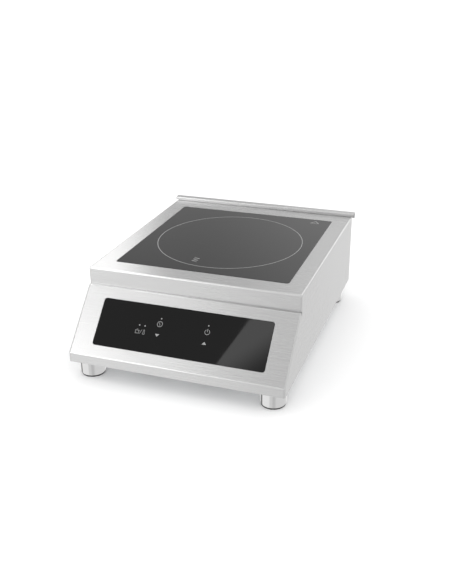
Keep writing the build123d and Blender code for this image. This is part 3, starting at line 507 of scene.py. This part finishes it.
# indicator windows
bm = bmesh.new()
for x, s in ((-79.5, 62.0), (-69.0, 62.2), (-42.2, 44.8), (45.4, 44.8)):
    disc(bm, x, s, 1.25)
new_piece("indicator_windows", bm, ICON)

# ---- thin black band round the bottom edge of each steel pad ----------------
for corner in ("front_left", "front_right", "rear_left", "rear_right"):
    lo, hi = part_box("foot_pad_" + corner)
    cx, cy, rad = (lo[0] + hi[0]) / 2, (lo[1] + hi[1]) / 2, (hi[0] - lo[0]) / 2
    bm = bmesh.new()
    profile = [(rad - 0.0006, 0.0), (rad + 0.0001, 0.0), (rad + 0.0003, 0.0004), (rad + 0.0003, 0.0018), (rad + 0.0001, 0.0023), (rad - 0.0006, 0.0023)]
    cols = []
    for i in range(96):
        a = 2 * math.pi * i / 96
        cols.append([bm.verts.new((cx + r * math.cos(a), cy + r * math.sin(a), lo[2] + z)) for r, z in profile])
    for i in range(96):
        p, q = cols[i], cols[(i + 1) % 96]
        for k in range(len(profile)):
            bm.faces.new((p[k], p[(k + 1) % len(profile)], q[(k + 1) % len(profile)], q[k]))
    new_piece("foot_rim_" + corner, bm, MATS["black_rubber"], "foot_pad_" + corner + "_body")

# ---------------------------------------------------------------------------
# Floor, light and camera
# ---------------------------------------------------------------------------
bm = bmesh.new()
bmesh.ops.create_grid(bm, x_segments=2, y_segments=2, size=30.0)
me = bpy.data.meshes.new("floor")
bm.to_mesh(me)
bm.free()
floor = bpy.data.objects.new("floor", me)
bpy.context.scene.collection.objects.link(floor)
g = Graph("pale_floor")
cloud = g.noise(g.coord.outputs["Object"], 1.5, 3.0, 0.5)
g.put(Base_Color=g.mix_colour(cloud, grey(0.895), grey(0.905)), Roughness=0.9, Specular_IOR_Level=0.0, Emission_Color=grey(1.0), Emission_Strength=0.03)   # back-lit acrylic sheet
me.materials.append(g.mat)
floor.visible_glossy = False      # the gloss sees the table through the studio map

# The studio: an even white tent for the diffuse light, and for the gloss the
# same tent with its panels: pale grey behind, brighter on the left, and a
# dimmer ceiling.
world = bpy.data.worlds.new("studio")
bpy.context.scene.world = world
world.use_nodes = True
nt = world.node_tree
nt.nodes.clear()
wout = nt.nodes.new("ShaderNodeOutputWorld")
wtc = nt.nodes.new("ShaderNodeTexCoord")
wsep = nt.nodes.new("ShaderNodeSeparateXYZ")
nt.links.new(wtc.outputs["Generated"], wsep.inputs[0])
WX, WY, WZ = wsep.outputs


def wmath(op, a, b=0.0, clamp=False):
    m = nt.nodes.new("ShaderNodeMath")
    m.operation = op
    m.use_clamp = clamp
    for i, v in enumerate((a, b)):
        if hasattr(v, "is_linked"):
            nt.links.new(v, m.inputs[i])
        else:
            m.inputs[i].default_value = v
    return m.outputs[0]


def wstep(value, a, b, lo=0.0, hi=1.0):
    """Smooth step of a direction value from a to b."""
    m = nt.nodes.new("ShaderNodeMapRange")
    m.interpolation_type = "SMOOTHSTEP"
    nt.links.new(value, m.inputs["Value"])
    for k, v in zip(("From Min", "From Max", "To Min", "To Max"), (a, b, lo, hi)):
        m.inputs[k].default_value = v
    return m.outputs[0]


def wmul(*vals):
    out = vals[0]
    for v in vals[1:]:
        out = wmath("MULTIPLY", out, v)
    return out


def wadd(*vals):
    out = vals[0]
    for v in vals[1:]:
        out = wmath("ADD", out, v)
    return out


def wnot(v):
    return wmath("SUBTRACT", 1.0, v)


rear = wstep(WY, -0.10, 0.35)
# behind: a low strip panel that the flat top mirrors, and a bright panel on the left that ends in grey
strip_r = wmul(wstep(WZ, 0.24, 0.30), wstep(WZ, 0.50, 0.43))
in_r = wstep(WX, -0.36, -0.17, 0.64, 0.96)
out_r = wadd(wstep(WX, -0.30, -0.18, 0.62, 0.86), wmul(wstep(WX, -0.385, -0.45, 0.0, 2.9), wstep(WX, -0.535, -0.46)), wstep(WZ, 0.60, 1.0, 0.0, 0.6))
rear_flat = wadd(wmul(in_r, strip_r), wmul(out_r, wnot(strip_r)))
# a tall bright panel behind on the right: only the right-hand bends look into it
rear_level = wadd(rear_flat, wmul(wstep(WX, -0.02, 0.16, 0.0, 0.9), wstep(WX, 0.45, 0.34)))
# in front: a dim square overhead that the console's glass mirrors, bright round it
strip_f = wmul(wstep(WZ, 0.66, 0.72), wstep(WZ, 0.92, 0.86))
out_f = wadd(wmul(wstep(WX, -0.24, -0.50, 0.0, 4.9), wstep(WX, -0.72, -0.58), wstep(WZ, 0.945, 0.915), wstep(WZ, 0.58, 0.70, 0.42, 1.0)), 0.92, wstep(WZ, 0.90, 0.985, 0.0, 0.5), wmul(0.45, wstep(WZ, 0.62, 0.46), wstep(WZ, 0.02, 0.12)))
front_level = wadd(wmul(0.56, strip_f), wmul(out_f, wnot(strip_f)))
# the table top, a little dimmer towards the right in front
table_level = wmul(1.11, wnot(wmul(0.22, wstep(WX, -0.36, -0.20), wstep(WY, -0.60, -0.80))), wnot(wmul(0.19, wstep(WX, 0.02, 0.22))))
low = wstep(WZ, 0.03, -0.05)
upper = wadd(wmul(rear_level, rear), wmul(front_level, wnot(rear)))
# two dark flags behind on the left draw the left-hand edges
flag_side = wmul(wstep(WX, -0.58, -0.68), wstep(WY, 0.08, 0.18), wstep(WY, 0.66, 0.56))
flag_low = wmul(wstep(WX, -0.34, -0.40), wstep(WX, -0.60, -0.50), wstep(WY, 0.70, 0.78), wstep(WZ, 0.26, 0.14))
level = wmul(wadd(wmul(upper, wnot(low)), wmul(table_level, low)), wnot(wmul(0.78, flag_side)), wnot(wmul(0.62, flag_low)))
tent = nt.nodes.new("ShaderNodeBackground")
tent.inputs[0].default_value = (1.0, 1.0, 1.0, 1.0)
tent.inputs[1].default_value = 1.28
panels = nt.nodes.new("ShaderNodeBackground")
panels.inputs[0].default_value = (1.0, 0.998, 0.997, 1.0)
nt.links.new(level, panels.inputs[1])
path = nt.nodes.new("ShaderNodeLightPath")
wmix = nt.nodes.new("ShaderNodeMixShader")
nt.links.new(path.outputs["Is Glossy Ray"], wmix.inputs[0])
nt.links.new(tent.outputs[0], wmix.inputs[1])
nt.links.new(panels.outputs[0], wmix.inputs[2])
nt.links.new(wmix.outputs[0], wout.inputs[0])
world.cycles.sampling_method = "NONE"


def area(name, loc, target, size, power, size_y=None, spread=180):
    l = bpy.data.lights.new(name, "AREA")
    l.shape = "RECTANGLE"
    l.size = size
    l.size_y = size_y or size
    l.energy = power
    l.spread = math.radians(spread)
    o = bpy.data.objects.new(name, l)
    bpy.context.scene.collection.objects.link(o)
    o.location = loc
    o.rotation_euler = (Vector(target) - Vector(loc)).to_track_quat("-Z", "Y").to_euler()
    return o


sun = bpy.data.lights.new("top_window", "SUN")
sun.energy = 0.12
sun.angle = math.radians(38)
sun_ob = bpy.data.objects.new("top_window", sun)
bpy.context.scene.collection.objects.link(sun_ob)
sun_ob.rotation_euler = Vector((0.18, 0.22, -0.96)).to_track_quat("-Z", "Y").to_euler()
sun_ob.visible_glossy = False

# A card over the console, seen only by the touch glass: its near edge runs
# slantwise across the right end.
CARD_D = 2.6
eye = Vector((0.309, -0.857, 0.4136))
edge_a = on_slope(114.0, 22.0) + Vector((-0.2758, -0.4762, 0.8350)) * CARD_D
edge_b = on_slope(77.0, 103.0) + Vector((-0.3053, -0.5213, 0.7969)) * CARD_D
along = (edge_b - edge_a).normalized()
facing = (on_slope(120, 60) - (edge_a + edge_b) / 2).normalized()
sideways = along.cross(facing).normalized()
if sideways.x < 0:
    sideways = -sideways
facing = along.cross(sideways).normalized()
if facing.dot(on_slope(120, 60) - edge_a) < 0:
    facing = -facing
WIDE, LONG = 0.9, 0.62
centre = (edge_a + edge_b) / 2 + sideways * (WIDE / 2) - along * 0.10
card = bpy.data.lights.new("card_over_console", "AREA")
card.shape = "RECTANGLE"
card.size, card.size_y = WIDE, LONG
card.energy = 2.6 * math.pi * WIDE * LONG
card_ob = bpy.data.objects.new("card_over_console", card)
bpy.context.scene.collection.objects.link(card_ob)
x_axis, z_axis = sideways, -facing
y_axis = z_axis.cross(x_axis)
card_ob.matrix_world = Matrix(((x_axis.x, y_axis.x, z_axis.x, centre.x), (x_axis.y, y_axis.y, z_axis.y, centre.y), (x_axis.z, y_axis.z, z_axis.z, centre.z), (0, 0, 0, 1)))
card.use_nodes = True
cn = card.node_tree
emission = next(n for n in cn.nodes if n.type == "EMISSION")
cgeo = cn.nodes.new("ShaderNodeNewGeometry")
csub = cn.nodes.new("ShaderNodeVectorMath")
csub.operation = "SUBTRACT"
cn.links.new(cgeo.outputs["Position"], csub.inputs[0])
csub.inputs[1].default_value = (edge_a + edge_b) / 2
cdot = cn.nodes.new("ShaderNodeVectorMath")
cdot.operation = "DOT_PRODUCT"
cn.links.new(csub.outputs[0], cdot.inputs[0])
cdot.inputs[1].default_value = sideways + along * 0.35
cfade = cn.nodes.new("ShaderNodeMapRange")
cfade.interpolation_type = "SMOOTHSTEP"
cn.links.new(cdot.outputs["Value"], cfade.inputs["Value"])
for k, v in zip(("From Min", "From Max", "To Min", "To Max"), (0.05, 0.215, 1.0, 0.10)):
    cfade.inputs[k].default_value = v
cn.links.new(cfade.outputs[0], emission.inputs["Strength"])
only = bpy.data.collections.new("card_receivers")
only.objects.link(NODES["touch_glass"])
card_ob.light_linking.receiver_collection = only

cam_data = bpy.data.cameras.new("view")
cam = bpy.data.objects.new("view", cam_data)
bpy.context.scene.collection.objects.link(cam)
AZ, EL, ROLL = math.radians(19.825), math.radians(24.429), math.radians(-0.707)
back = Vector((math.sin(AZ) * math.cos(EL), -math.cos(AZ) * math.cos(EL), math.sin(EL)))
fwd = -back
right = fwd.cross(Vector((0, 0, 1))).normalized()
up = right.cross(fwd)
right2 = right * math.cos(ROLL) + up * math.sin(ROLL)
up2 = -right * math.sin(ROLL) + up * math.cos(ROLL)
target = Vector((0.010317, 0.150 + Y_SHIFT, 0.091026))
loc = target + back * 1.537676
cam.matrix_world = Matrix(((right2.x, up2.x, back.x, loc.x), (right2.y, up2.y, back.y, loc.y), (right2.z, up2.z, back.z, loc.z), (0, 0, 0, 1)))
cam_data.sensor_fit = "VERTICAL"
cam_data.sensor_height = 36.0
cam_data.sensor_width = 36.0
cam_data.lens = 794.921 * 36.0 / 584.0
cam_data.clip_end = 100.0
bpy.context.scene.camera = cam
bpy.context.scene.view_settings.view_transform = "Standard"
